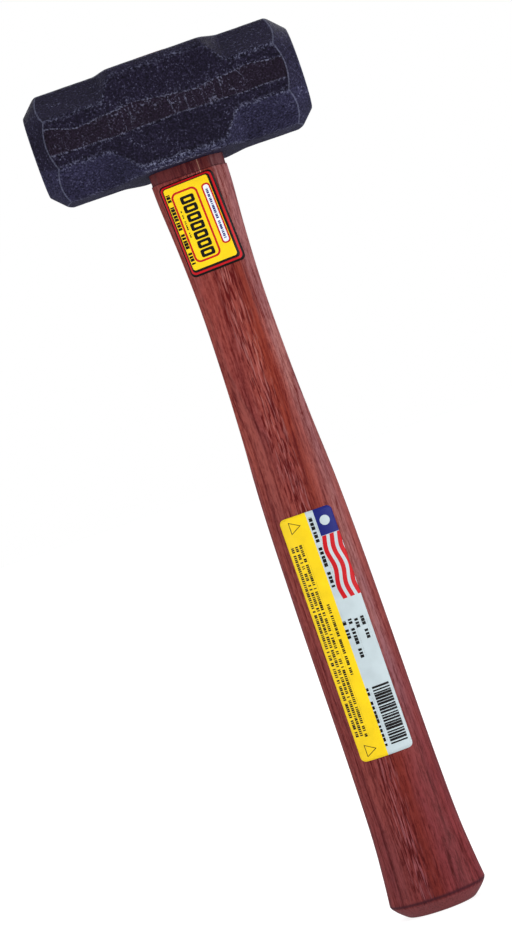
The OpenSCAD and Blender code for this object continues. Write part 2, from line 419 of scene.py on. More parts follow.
def flat_gaps(head, point):
    """How far below each of the forging's flats a point is: side, top or foot, and corner."""
    x, y, z = point.x, point.y, point.z - HEAD_Z
    leg = corner_leg(head, x, sign(y), sign(z))
    return (FLATS_HALF - abs(y), FLATS_HALF - abs(z),
            (2 * FLATS_HALF - leg - abs(y) - abs(z)) / math.sqrt(2))


def edge_gap(head, point):
    """Distance from the nearest long edge."""
    nearest, next_nearest = sorted(flat_gaps(head, point))[:2]
    return next_nearest - nearest


def rim_gap(head, point):
    """How far inside the chamfer's cone a point of the flats is, and negative on the chamfer."""
    cone = (cone_radius(head, point.x) - math.hypot(point.y, point.z - HEAD_Z)) / math.sqrt(2)
    return cone - min(flat_gaps(head, point))


def corner_tone_and_painted_light_share(head, point):
    """0 on the cheeks, 1 on the lower cuts, and between them on the upper cuts and striking ends; the
    lower cuts and the right end get more as painted light.
    """
    side, lid, corner = flat_gaps(head, point)
    # Painted light: the lower cuts are made lighter, as if lit from below.
    low = 0.2 + 0.8 * ease(0.5 + (HEAD_Z - point.z) / 4)
    # Painted light: the right striking end is made lighter than the left, as if lit from the right.
    end = 0.3 + 0.2 * sign(point.x)
    return max(low * ease(0.5 + (side - min(lid, corner)) / 1.5), end * ease(-rim_gap(head, point) / 0.3))


def struck_share(head, point):
    """1 on the rounded rim of a striking face, where blows land first, and less on the face."""
    inset = (HEAD_HALF - abs(point.x)) * MM / head.rim_radius
    return 0.45 * ease((0.5 - inset) / 0.3) + 0.55 * ease(1 - abs(inset - 0.22) / 0.2)


def rubbed_share(point):
    """How much an edge has rubbed: most under the middle, where the handle's neck is struck."""
    low = ease((HEAD_Z - point.z) / FLATS_HALF)
    return 0.4 + 0.6 * low * math.exp(-((point.x - 4) / 20) ** 2)


def stadium_reach(angle, half_length, half_width):
    """Distance from the middle of a stadium to its outline."""
    across, rise = abs(math.cos(angle)), abs(math.sin(angle))
    shift = half_length - half_width
    if across * half_width <= shift * rise:
        return half_width / rise
    return shift * across + math.sqrt(half_width ** 2 - (shift * rise) ** 2)


def eye_point(handle, station, angle):
    """The eye's wall at a station (height, growth) above the head's middle."""
    height, growth = station
    waist = FLATS_HALF - handle.flare_depth / MM
    flare = handle.eye_flare / MM * min(max(abs(height) - waist, 0) * MM / handle.flare_depth, 1)
    reach = stadium_reach(angle, handle.eye_length / MM + flare + growth,
                          handle.eye_width / MM + flare + growth)
    return reach * math.cos(angle), reach * math.sin(angle), HEAD_Z + height


def eye_cutter(handle):
    """The eye, with a small lead at both mouths."""
    waist = FLATS_HALF - handle.flare_depth / MM
    lead = 0.5
    half = [(waist, 0), (FLATS_HALF - lead, 0), (FLATS_HALF + 1, lead + 1)]
    stations = [(-height, growth) for height, growth in reversed(half)] + half
    return object_from(loft(stations, EYE_ROUND, lambda s, a: eye_point(handle, s, a)), "eye")


def forged_scale(head):
    """Drop-forged carbon steel in black oxide scale: dull and faintly blue, with rubbed edges.

    The trimmed flash reads browner than the cheeks and the corner cuts bluer, and painted light
    makes the lower cuts and the right striking end lighter. Bare steel only shows through as
    """
    material, tree, shader = new_material("black_forging_scale")
    place = node(tree, "TexCoord", give="Object")
    # corner carries the corner scale's share, painted light included.
    gap, rim, top, foot, rub, cut, struck = [
        node(tree, "Attribute", give="Fac", attribute_name=name)
        for name in ("edge_gap", "rim_gap", "flash_top", "flash_foot", "rubbed", "corner", "struck")]
    # Grit of the scale is about 0.3 mm across, drawn at 0.8 mm so that it shows.
    grit, fleck, cloud = [
        node(tree, "TexNoise", {"Vector": place, "Scale": 1 / size, "Detail": detail, "Roughness": rough})
        for size, detail, rough in ((0.0008, 3.0, 0.65), (0.0022, 5.0, 0.75), (0.014, 4.0, 0.6))]
    # Wear, flash and ticks belong to the forging, and end where a chamfer is ground.
    forged = node(tree, "MapRange", (rim, 0.0, 0.5))
    band = joined(tree, "MULTIPLY", (top, 0.25, -0.25), (foot, -0.25, 0.25), forged)
    # The corner scale is laid with painted light: lightest on the lower cuts and the right striking end.
    tone = layered(tree, head.scale, [(cut, head.cut_scale_and_painted_light), (band, head.flash)])
    speckle = joined(tree, "MULTIPLY", (cloud, 0.25, 0.75, 0.8, 1.2), (grit, 0.3, 0.7, 0.2, 1.85))
    base = node(tree, "VectorMath", {0: tone, "Scale": speckle}, operation="SCALE")

    # Rubbed edges, loose specks and struck rims, each the product of its masks.
    bare = node(tree, "MapRange", (grit, 0.46, 0.62))
    patchy = node(tree, "MapRange", (cloud, 0.38, 0.6, 0.35, 1.0))
    worn = [((gap, 1.3, 0.1, 0.0, 1.25), bare, (fleck, 0.42, 0.54), patchy, rub, forged),
            ((grit, 0.56, 0.7, 0.0, 0.5), (fleck, 0.44, 0.6), patchy),
            (struck, bare, (fleck, 0.4, 0.56, 0.0, 0.6))]
    # The chamfers were ground, so their edge is a thin even line.
    worn.append(((apart(tree, rim, 0.0), 0.36, 0.08, 0.0, 0.34), (grit, 0.35, 0.6, 0.4, 1.0)))
    # The flash lines are ragged, with short ticks between them, 3.8 mm apart and 12 mm tall.
    ragged = node(tree, "MapRange", (fleck, 0.3, 0.7, 0.55, -0.55))
    for height, strength in ((top, 0.47), (foot, 0.4)):
        worn.append(((apart(tree, height, ragged), 0.4, 0.08, 0.0, strength), (grit, 0.42, 0.56),
                     (fleck, 0.42, 0.52, 0.15, 1.0), forged))
    upright = node(tree, "Mapping", {"Vector": place, "Scale": (260.0, 40.0, 80.0)})
    tick = node(tree, "TexNoise", {"Vector": upright, "Scale": 1.0, "Detail": 1.0})
    worn.append(((apart(tree, tick, 0.5), 0.03, 0.008, 0.0, 0.4), (top, 3.0, 0.0), (foot, -2.0, 0.5),
                 (cloud, 0.44, 0.56), bare, forged))
    wear = joined(tree, "MAXIMUM", *(joined(tree, "MULTIPLY", *masks) for masks in worn))
    height = node(tree, "Math", (fleck, 0.8, grit), operation="MULTIPLY_ADD")
    fill(tree, shader, {
        "Base Color": layered(tree, base, [(wear, head.worn)]),
        "Roughness": node(tree, "MapRange", (wear, 0.0, 1.0, 0.66, 0.5)),
        "Normal": node(tree, "Bump", {"Strength": 0.8, "Distance": 0.0004, "Height": height}),
        "Specular IOR Level": 0.07,
    })
    return material


class HAMMER_OT_head(bpy.types.Operator):
    """Forge the head and pierce its eye"""

    bl_idname = "hammer.head"
    bl_label = "Forge head"

    def execute(self, context):
        head, handle = context.scene.hammer_head, context.scene.hammer_handle
        # The loft's ring turns round Z, so its angle is used as the angle round the head's X axis.
        body = loft(head_stations(head), HEAD_ROUND, lambda s, a: head_point(head, s, a))
        piece = object_from(body, "forged_head")
        carve(piece, [eye_cutter(handle)])
        mark(piece,
             edge_gap=lambda p: edge_gap(head, p),
             rim_gap=lambda p: rim_gap(head, p),
             flash_top=lambda p: p.z - HEAD_Z - flash_lines(head, p.x)[0],
             flash_foot=lambda p: p.z - HEAD_Z - flash_lines(head, p.x)[1],
             # The corner share holds painted light on the lower cuts and the right end.
             corner=lambda p: corner_tone_and_painted_light_share(head, p),
             rubbed=rubbed_share,
             struck=lambda p: struck_share(head, p))
        shade(piece, 35)
        settle(piece, "forged_steel", forged_scale(head), "head")
        return {"FINISHED"}


# The handle

def handle_outline():
    """Height, half width and half thickness of each ring of the frame's handle."""
    rings = {}
    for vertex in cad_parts["handle"].data.vertices:
        x, y, z = vertex.co / MM
        wide, thick = rings.get(round(z, 2), (0, 0))
        rings[round(z, 2)] = (max(wide, x), max(thick, y))
    return [(z, *rings[z]) for z in sorted(rings) if z < SHOULDER_Z + 0.1]


def smooth_between(table, at, column):
    """A smooth curve through a column of a table whose first column rises."""
    i = max(k for k in range(len(table) - 1) if k == 0 or table[k][0] <= at)
    rows = [table[min(max(k, 0), len(table) - 1)] for k in (i - 1, i, i + 1, i + 2)]
    run = rows[2][0] - rows[1][0]
    share = (at - rows[1][0]) / run
    slope_in = (rows[2][column] - rows[0][column]) / (rows[2][0] - rows[0][0]) * run
    slope_out = (rows[3][column] - rows[1][column]) / (rows[3][0] - rows[1][0]) * run
    low, high = rows[1][column], rows[2][column]
    square, cube = share ** 2, share ** 3
    return ((2 * cube - 3 * square + 1) * low + (cube - 2 * square + share) * slope_in
            + (3 * square - 2 * cube) * high + (cube - square) * slope_out)


def grip_outline(handle, z, table):
    """Half width and half thickness of the handle at a height below the shoulder."""
    rim = handle.rim_z / MM
    collar = SHOULDER_Z - handle.collar / MM
    body = [row for row in table if rim - 0.1 < row[0] < collar + 0.02]
    sizes = [smooth_between(body, min(max(z, rim), collar), column) for column in (1, 2)]
    if z < rim + 3:
        # Below the rim the flare goes on, and the chamfer cuts it off with a soft shoulder.
        flare = [(body[0][k] - body[1][k]) / (body[1][0] - body[0][0]) for k in (1, 2)]
        flats = (handle.butt_width / MM, handle.butt_thickness / MM)
        lift = 0.5 * math.sqrt(max(0.0, 0.7 ** 2 - (0.7 - min(z, 0.7)) ** 2)) - 0.35
        for k in (0, 1):
            grown = sizes[k] + flare[k] * max(rim - z, 0)
            rise = (body[0][k + 1] - flats[k]) / rim
            bulge = 0.5 * math.sin(math.pi * min(z / rim, 1))
            sizes[k] = soft_min(grown, flats[k] + rise * z + bulge + lift, 0.8)
    if z > collar:
        step = handle.collar_step / MM * ease((z - collar) / 0.25)
        last = table[-1]
        share = (z - collar) / (SHOULDER_Z - collar)
        sizes = [size + (last[k + 1] + handle.collar_step / MM - size) * share - step
                 for k, size in enumerate(sizes)]
    return sizes


def handle_point(handle, station, angle):
    """The handle's surface at a station (z, half width, half thickness, let out, share)."""
    z, wide, thick, let_out, share = station
    across, rise = math.cos(angle), math.sin(angle)
    blend = handle.edge_round / MM
    leg = (handle.wide_facet if across * rise < 0 else handle.narrow_facet) / MM
    oval = let_out / math.sqrt((across / wide) ** 2 + (rise / thick) ** 2)
    side = wide / max(abs(across), NEARLY_ZERO)
    front = thick / max(abs(rise), NEARLY_ZERO)
    corner = (wide + thick - leg) / (abs(across) + abs(rise))
    radius = min(soft_min(min(side, front), corner, blend), soft_min(oval, corner, blend))
    radius = radius - 0.06 * (1 + noise.noise(Vector((across * 2, rise * 2, z * 0.03))))
    return radius * across * share, radius * rise * share, z


def tenon_point(handle, station, angle):
    """The tenon's wall, a hair inside the eye's."""
    z, growth = station
    height = min(z - HEAD_Z, FLATS_HALF)
    x, y, _ = eye_point(handle, (height, growth), angle)
    return x, y, z


def handle_stations(handle, table):
    """Stations from the butt to the shoulder, then up the tenon to the middle of its top."""
    rim = handle.rim_z / MM
    collar = SHOULDER_Z - handle.collar / MM
    heights = ([0, 0.06, 0.2, 0.45, 0.8] + steps(1.3, rim + 3, 0.4) + steps(rim + 4, collar - 1, 1.4)
               + [collar - 0.4, collar, collar + 0.08, collar + 0.17, collar + 0.25, collar + 0.8]
               + steps(collar + 1.6, SHOULDER_Z, 0.8))
    start, full = handle.facet_start / MM, handle.facet_full / MM
    body = []
    for z in heights:
        wide, thick = grip_outline(handle, z, table)
        body.append((z, wide, thick, 1 + 0.32 * ease((z - start) / (full - start)), 1.0))
    butt = [(0.0, *body[0][1:4], share) for share in (0.1, 0.3, 0.5, 0.7, 0.86, 0.95)]
    walls = [(z, -TENON_GAP) for z in steps(SHOULDER_Z, TENON_TOP - 0.6, 1.5)]
    rounded = [(TENON_TOP - 0.3, -0.07), (TENON_TOP - 0.1, -0.2), (TENON_TOP, -0.5)]
    top = [(TENON_TOP, -growth) for growth in (1.5, 3, 5, 7, 9)]
    return butt + body, walls + rounded + top


def stained_hickory(handle):
    """Turned hickory, stained red-brown under a thin worn lacquer.

    Growth rings run up the handle as streaks, with open pores as short dark dashes and torn
    fibres as pale ones. The wood is darker towards the butt, with painted shade on the butt's
    right; a painted sheen and highlight run down the right side, a painted shadow of the head
    lies on the collar, and a dark line runs above the chamfer.
    """
    material, tree, shader = new_material("stained_hickory")
    place = node(tree, "TexCoord", give="Object")
    planed, deep, cut_end, pooled = [
        node(tree, "Attribute", give="Fac", attribute_name=name)
        for name in ("planed", "deep_stain", "cut_end", "pooled")]

    def fibres(where, across, along, detail=2.0, rough=0.6, give="Fac"):
        """Noise drawn out along the handle, its cells across by along in metres."""
        drawn = node(tree, "Mapping", {"Vector": where, "Scale": (1 / across, 1 / across, 1 / along)})
        return node(tree, "TexNoise", {"Vector": drawn, "Scale": 1.0, "Detail": detail,
                                       "Roughness": rough}, give)

    # The trunk's heart lies behind and left of the handle, and the grain wanders slowly.
    wander = fibres(place, 0.033, 0.25, 0.0, give="Color")
    warped = node(tree, "VectorMath", (wander, (0.016, 0.016, 0.0), place), operation="MULTIPLY_ADD")
    trunk = node(tree, "Mapping", {"Vector": warped, "Location": (0.030, -0.055, 0.0),
                                   "Scale": (1.0, 1.0, 0.02)})
    # A slow ring is 3.6 mm wide, darkens slowly and ends in a sharp line of open pores.
    radius = node(tree, "VectorMath", (trunk,), operation="LENGTH")
    rings = node(tree, "Math", (radius, 1 / 0.0036), operation="MULTIPLY")
    phase = node(tree, "Math", (rings,), operation="FRACT")
    ring = node(tree, "ValToRGB", (phase,),
                stops=[(0.0, grey(0.6)), (1.0, grey(0.5)), (0.07, grey(0.2)), (0.8, grey(0.0))])
    streak = fibres(warped, 0.0012, 0.08, 5.0, 0.65)
    # Pores are 0.15 mm wide and 2 to 6 mm long, drawn 0.7 mm wide so that they show.
    pores = fibres(warped, 0.0007, 0.007, 1.0)
    torn = fibres(warped, 0.0007, 0.009, 1.0)
    fuzz = fibres(place, 0.0008, 0.0022, 2.0, 0.7)
    # One band of open pores runs near the middle, and one of browner wood right of it.
    sideways = node(tree, "SeparateXYZ", (warped,), "X")
    open_band, brown_band = [
        node(tree, "MapRange", (apart(tree, sideways, middle), far, near))
        for middle, near, far in ((0.0055, 0.002, 0.006), (0.0115, 0.0012, 0.0052))]
    dash = joined(tree, "MULTIPLY", (pores, 0.5, 0.6), (open_band, 0, 1, 0.35, 1.0))
    speck = joined(tree, "MULTIPLY", (torn, 0.54, 0.68), (open_band, 0, 1, 0.06, 0.5))
    dark = joined(tree, "ADD", ring, (streak, 0.4, 0.66, -0.1, 0.5), (fuzz, 0.3, 0.7, 0.25, -0.25))
    dark = node(tree, "Math", (dash, 0.95, dark), operation="MULTIPLY_ADD", use_clamp=True)
    # The pale thin colour is painted sheen and a painted highlight down the right side.
    wood = layered(tree, handle.light, [(brown_band, handle.warm), (planed, handle.thin),
                                        (dark, handle.dark), (speck, handle.frayed)])
    tint = node(tree, "ValToRGB", (fibres(place, 0.011, 0.07, 3.0),),
                stops=[(0.3, (0.82, 0.74, 0.86, 1)), (0.7, (1.16, 1.08, 0.92, 1))])
    # The wood is darkened towards the butt, and on the butt's right as painted shade.
    wood = layered(tree, wood, [(1.0, tint), (deep, handle.deep)], "MULTIPLY")
    # A pale nick runs up the front of the collar, beside the label's corner.
    across, depth, height = node(tree, "SeparateXYZ", (place,)).node.outputs
    front = node(tree, "CombineXYZ", (across, height))
    front = node(tree, "VectorMath", {0: front, "Scale": 1 / MM}, operation="SCALE")
    nick = print_shape(tree, front, (4.6, SHOULDER_Z - 2.6), (0.35, 5.6))
    nick = joined(tree, "MULTIPLY", nick, (depth, 0.001, 0.0))
    # Cut ends drink more stain and show their pores as dots.
    dots = node(tree, "MapRange", (fibres(place, 0.0005, 0.0025, 3.0), 0.3, 0.7, 0.65, 1.2))
    end = node(tree, "VectorMath", {0: handle.end_grain[:3], "Scale": dots}, operation="SCALE")
    groove = node(tree, "Math", (dash, -0.8, fuzz), operation="MULTIPLY_ADD")
    fill(tree, shader, {
        # Over the wood: a dark line above the chamfer and the painted shadow of the head on the collar.
        "Base Color": layered(tree, wood, [(nick, handle.nick), (cut_end, end), (pooled, handle.pool)]),
        "Roughness": node(tree, "MapRange", (streak, 0.3, 0.7, 0.48, 0.62)),
        "Normal": node(tree, "Bump", {"Strength": 0.5, "Distance": 0.0003, "Height": groove}),
        "Specular IOR Level": 0.1,
        "Coat Weight": 0.05,
        "Coat Roughness": 0.3,
    })
    return material


def cut_end_share(handle, point):
    """1 where the wood is cut across: under the butt, on its chamfer and on the tenon's top."""
    rim = handle.rim_z / MM
    return max(0.75 * ease((rim - 0.4 - point.z) / 1.0), ease((0.3 - point.z) / 0.2),
               ease((point.z - TENON_TOP + 0.5) / 0.3))


def planed_share(point):
    """Painted sheen: 1 on the neck's right facet, painted paler as if lit from the right, and on a painted
    highlight band that runs on down the grip's right side.
    """
    # Painted sheen on the neck's right facet, as if lit from the right.
    facet = ease((point.x - 8 - 3 * ease((230 - point.z) / 80)) / 2.5)
    # A painted highlight down the right side of the grip.
    painted_highlight = 1.1 * math.exp(-((point.x - 12.2) / 2) ** 2)
    up = ease((point.z - 150) / 60)
    return 0.9 * ease((point.z - 55) / 50) * (painted_highlight + (facet - painted_highlight) * up)


def butt_darkening_and_painted_shade_share(point):
    """How much darker the wood is made: more towards the butt, and most on its right as painted shade."""
    low = 1 - ease((point.z - 20) / 140)
    # Painted shade on the butt's right.
    right = ease((point.x + 6) / 16) * (1 - ease((point.z - 40) / 80))
    return 0.5 * (low + right)


def pooled_share(handle, point):
    """1 on a dark line above the butt's chamfer, and on the collar as painted shadow under the head,
    darkest at the collar's foot.
    """
    # A dark line just above the butt's chamfer.
    rim = math.exp(-((point.z - handle.rim_z / MM - 0.1) / 0.65) ** 2)
    # Painted shadow of the head: a dark line at the collar's step, and a darker band from there up to the
    # head.
    above = point.z - SHOULDER_Z + handle.collar / MM
    foot = math.exp(-(above / 0.25) ** 2)
    collar = 0.6 * ease(above / 0.5) if point.z < SHOULDER_Z + 1 else 0
    return min(0.9 * rim + 0.75 * foot + collar, 1)


def wedge_block(name, node_name, tip, inset, drop, bevel=0.0):
    """A wedge as wide and deep as a frame node, narrowing to its tip."""
    low, high = [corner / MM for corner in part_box(node_name)]
    size, middle = high - low, (high + low) / 2
    thin = 0 if size.x < size.y else 1
    bm = bmesh.new()
    bmesh.ops.create_cube(bm, size=1)
    bmesh.ops.scale(bm, vec=size - Vector((2 * inset, 2 * inset, 0)), verts=bm.verts)
    for vertex in bm.verts:
        if vertex.co.z < 0:
            vertex.co[thin] *= tip / (size[thin] - 2 * inset)
    bmesh.ops.translate(bm, vec=middle - Vector((0, 0, drop)), verts=bm.verts)
    if bevel:
        bmesh.ops.bevel(bm, geom=bm.edges[:], offset=bevel, offset_type="OFFSET", segments=3,
                        profile=0.5, affect="EDGES", material=-1)
    bmesh.ops.scale(bm, vec=(MM, MM, MM), verts=bm.verts)
    return object_from(bm, name)


def wedge_cutters(gap, names):
    """A cutter for each named wedge, larger by a gap and reaching out of the tenon's top."""
    return [wedge_block(f"cut_{name}", name, WEDGE_TIP + 2 * gap, -gap, -gap) for name in names]


class HAMMER_OT_handle(bpy.types.Operator):
    """Turn the handle, with its collar, tenon and rounded butt"""

    bl_idname = "hammer.handle"
    bl_label = "Turn handle"

    def execute(self, context):
        handle = context.scene.hammer_handle
        body, tenon = handle_stations(handle, handle_outline())

        def point(station, angle):
            place = tenon_point if len(station) == 2 else handle_point
            return place(handle, station, angle)

        piece = object_from(loft(body + tenon, HANDLE_ROUND, point), "hickory_handle")
        carve(piece, wedge_cutters(SLOT_GAP, ("wood_wedge", *STEEL_WEDGES)))
        mark(piece,
             cut_end=lambda p: cut_end_share(handle, p),
             pooled=lambda p: pooled_share(handle, p),
             planed=planed_share,
             deep_stain=butt_darkening_and_painted_shade_share)
        shade(piece, 35)
        settle(piece, "stained_hickory", stained_hickory(handle), "handle")
        return {"FINISHED"}


# The wedges

def sawn_wood(handle):
    """A maple wedge, sawn and left raw: pale, with its grain running down the wedge."""
    material, tree, shader = new_material("raw_sawn_maple")
    place = node(tree, "TexCoord", give="Object")
    # The saw left fibres about 0.5 mm across and 11 mm long.
    drawn = node(tree, "Mapping", {"Vector": place, "Scale": (1500.0, 2500.0, 90.0)})
    grain = node(tree, "TexNoise", {"Vector": drawn, "Scale": 1.0, "Detail": 4.0})
    shade_of = node(tree, "MapRange", (grain, 0.3, 0.7, 0.6, 1.15))
    fill(tree, shader, {
        "Base Color": node(tree, "VectorMath", {0: handle.raw[:3], "Scale": shade_of}, operation="SCALE"),
        "Roughness": 0.75,
        "Normal": node(tree, "Bump", {"Strength": 0.5, "Distance": 0.0002, "Height": grain}),
    })
    return material


def wedge_steel():
    """Mild steel strip, sheared and driven: dark mill finish with bright hammer scuffs."""
    material, tree, shader = new_material("sheared_mild_steel")
    place = node(tree, "TexCoord", give="Object")
    scuff = node(tree, "TexNoise", {"Vector": place, "Scale": 1 / 0.0012, "Detail": 5.0, "Roughness": 0.7})
    fill(tree, shader, {
        "Base Color": node(tree, "ValToRGB", (scuff,),
                           stops=[(0.35, linear("#4b4b50")), (0.65, linear("#9a9ba0"))]),
        "Roughness": node(tree, "MapRange", (scuff, 0.3, 0.7, 0.6, 0.35)),
        "Normal": node(tree, "Bump", {"Strength": 0.4, "Distance": 0.0002, "Height": scuff}),
        "Metallic": 0.9,
    })
    return material


class HAMMER_OT_wedges(bpy.types.Operator):
    """Drive the wooden wedge and the two steel ones"""

    bl_idname = "hammer.wedges"
    bl_label = "Drive wedges"

    def execute(self, context):
        steel = wedge_steel()
        wooden = wedge_block("maple_wedge", "wood_wedge", WEDGE_TIP, inset=0.03, drop=0.15, bevel=0.15)
        carve(wooden, wedge_cutters(0.03, STEEL_WEDGES))
        shade(wooden, 30)
        settle(wooden, "raw_wood", sawn_wood(context.scene.hammer_handle), "wood_wedge")
        for name, drop in zip(STEEL_WEDGES, (0.35, 0.2)):
            piece = wedge_block(f"driven_{name}", name, WEDGE_TIP, inset=0.02, drop=drop, bevel=0.25)
            shade(piece, 30)
            settle(piece, "wedge_steel", steel, name)
        return {"FINISHED"}


# The labels

def print_shape(tree, place, middle, size, corner=0.0):
    """1 inside a rounded box on the print and 0 outside it, in millimetres."""
    zero = (0, 0, 0)
    inner = (size[0] / 2 - corner, size[1] / 2 - corner, 0)
    off = place
    for operation, operand in (("SUBTRACT", (*middle, 0)), ("ABSOLUTE", zero), ("SUBTRACT", inner),
                               ("MAXIMUM", zero), ("LENGTH", zero)):
        off = node(tree, "VectorMath", (off, operand), operation=operation)
    return node(tree, "MapRange", (off, corner + 0.08, corner + 0.01))


def print_triangle(tree, place, middle):
    """The outline of a small triangle that points right across the print, in millimetres."""
    inradius, line = 1.35, 0.14
    off = node(tree, "VectorMath", (place, (*middle, 0)), operation="SUBTRACT")
    sides = []
    for turn in (60, 180, 300):
        facing = (math.cos(math.radians(turn)), math.sin(math.radians(turn)), 0)
        sides.append(node(tree, "VectorMath", (off, facing), operation="DOT_PRODUCT"))
    return node(tree, "Math", (joined(tree, "MAXIMUM", *sides), inradius, line), operation="COMPARE")


def print_dashes(tree, place, middle, size, pitch, ink):
    """A box of dashes that stand in for small print, in rows along the label.

    Pitch is (between rows, along a row), and ink is the share of dashes that are printed.
    """
    corner = (middle[0] - size[0] / 2, middle[1] - size[1] / 2, 0)
    off = node(tree, "VectorMath", (place, corner), operation="SUBTRACT")
    grid = node(tree, "VectorMath", (off, (*pitch, 1)), operation="DIVIDE")
    cell = node(tree, "VectorMath", (grid,), operation="FLOOR")
    chance = node(tree, "TexWhiteNoise", {"Vector": cell}, "Value", noise_dimensions="2D")
    within = node(tree, "VectorMath", (grid,), operation="FRACTION")
    across, along, _ = node(tree, "SeparateXYZ", (within,)).node.outputs
    reach = node(tree, "MapRange", (chance, 0.0, ink, 0.92, 0.5))
    limits = ((across, 0.66), (along, reach), (chance, ink))
    masks = [node(tree, "Math", pair, operation="LESS_THAN") for pair in limits]
    return joined(tree, "MULTIPLY", *masks, print_shape(tree, place, middle, size))


def printed_paper(name, design, label, size):
    """Coated paper, printed and rolled on: matt, with a slight tooth and faint creases.

    design() gives the printed colour at a place on the label, in millimetres.
    """
    material, tree, shader = new_material(name)
    printed = design(tree, node(tree, "UVMap", uv_map="print"), label, size)
    place = node(tree, "TexCoord", give="Object")
    tooth, cockle = [node(tree, "TexNoise", {"Vector": place, "Scale": 1 / size, "Detail": 2.0})
                     for size in (0.0004, 0.006)]
    fade = node(tree, "MapRange", (cockle, 0.3, 0.7, 0.93, 1.04))
    height = node(tree, "Math", (cockle, 3.0, tooth), operation="MULTIPLY_ADD")
    fill(tree, shader, {
        "Base Color": node(tree, "VectorMath", {0: printed, "Scale": fade}, operation="SCALE"),
        "Roughness": 0.5,
        "Normal": node(tree, "Bump", {"Strength": 0.25, "Distance": 0.0001, "Height": height}),
        "Specular IOR Level": 0.15,
    })
    return material


def neck_print(tree, place, label, size):
    """Yellow in a red border between two black lines, with a framed row of hollow blocks."""
    w, h = size
    box, dashes = partial(print_shape, tree, place), partial(print_dashes, tree, place)
    # One block is drawn, and the print is folded so that it comes again every 3.7 mm.
    fold = node(tree, "VectorMath", (place, (-40, -13.0, -1), (40, -9.3, 1)), operation="WRAP")
    folded, block = partial(print_shape, tree, fold), (-1.9, -11.15)
    row = box((-1.9, 0.0), (5.6, 25.9))
    return layered(tree, label.black, [
        (box((-0.2, 0.2), (w - 1.4, h - 1.4), 1.8), label.red),
        (box((-0.3, 0.3), (w - 2.8, h - 2.8), 1.4), label.black),
        (box((-0.6, 0.6), (w - 4.2, h - 4.2), 1.0), label.yellow),
        (box((-2.4, 0.5), (10.8, 29.2), 2.4), label.red),
        (box((-2.4, 0.5), (9.2, 27.6), 1.7), label.yellow),
        (joined(tree, "MULTIPLY", row, folded(block, (5.6, 3.1), 0.7)), label.black),
        (joined(tree, "MULTIPLY", row, folded(block, (2.9, 0.9), 0.2)), label.yellow),
        (dashes((-5.9, 1.5), (0.8, 12.0), (0.8, 0.8), 0.8), label.black),
        (box((6.6, 1.9), (3.5, 25.0), 1.4), label.red),
        (box((6.6, 1.9), (2.2, 23.7), 0.9), label.pill),
        (dashes((6.8, 1.9), (1.5, 21.0), (1.5, 0.75), 0.92), label.blue),
        (dashes((-8.4, 0.6), (2.4, 29.0), (2.4, 1.3), 0.9), label.black),
    ])


def grip_print(tree, place, label, size):
    """Half yellow with rows of dashes, half white with a blue block, red waves and a bar row."""
    w, h = size
    box, dashes = partial(print_shape, tree, place), partial(print_dashes, tree, place)
    x, y, _ = node(tree, "SeparateXYZ", (place,)).node.outputs
    swing = node(tree, "Math", (y, 0.42), operation="MULTIPLY")
    swing = node(tree, "Math", (swing,), operation="SINE")
    bent = node(tree, "Math", (swing, 0.55, x), operation="MULTIPLY_ADD")
    waved = partial(print_shape, tree, node(tree, "CombineXYZ", (bent, y)))
    rows = [(8.3, -0.4, 11.0), (5.8, 2.2, 5.6), (3.4, -3.6, 17.5), (1.0, 0.6, 8.6)]
    return layered(tree, label.white, [
        (box((-w / 4 - 0.2, 0), (w / 2 + 0.4, h)), label.yellow),
        (print_triangle(tree, place, (-6.0, 46.2)), label.black),
        (print_triangle(tree, place, (-6.4, -46.4)), label.black),
        (dashes((-7.1, -1.0), (5.1, 80.0), (1.7, 0.8), 0.86), label.black),
        (dashes((-2.9, -1.0), (1.5, 30.0), (1.7, 0.8), 0.9), label.black),
        (dashes((1.7, 33.5), (2.2, 29.0), (2.2, 1.7), 0.88), label.black),
        (box((7.0, 45.4), (7.5, 11.6)), label.blue),
        (box((6.6, 45.2), (3.9, 3.9), 1.95), label.white),
        *((waved((at, 26.4), (1.7, 26.0)), label.red) for at in (3.9, 7.0, 10.1)),
        *((dashes((at, middle), (2.2, reach), (2.2, 1.4), 0.85), label.black)
          for at, middle, reach in rows),
        (dashes((0.8, -35.0), (1.5, 24.0), (1.5, 1.9), 0.95), label.black),
        (dashes((9.5, -35.0), (14.0, 24.0), (23.0, 1.15), 1.0), label.black),
        (box((10.4, -35.0), (1.8, 26.0)), label.white),
    ])


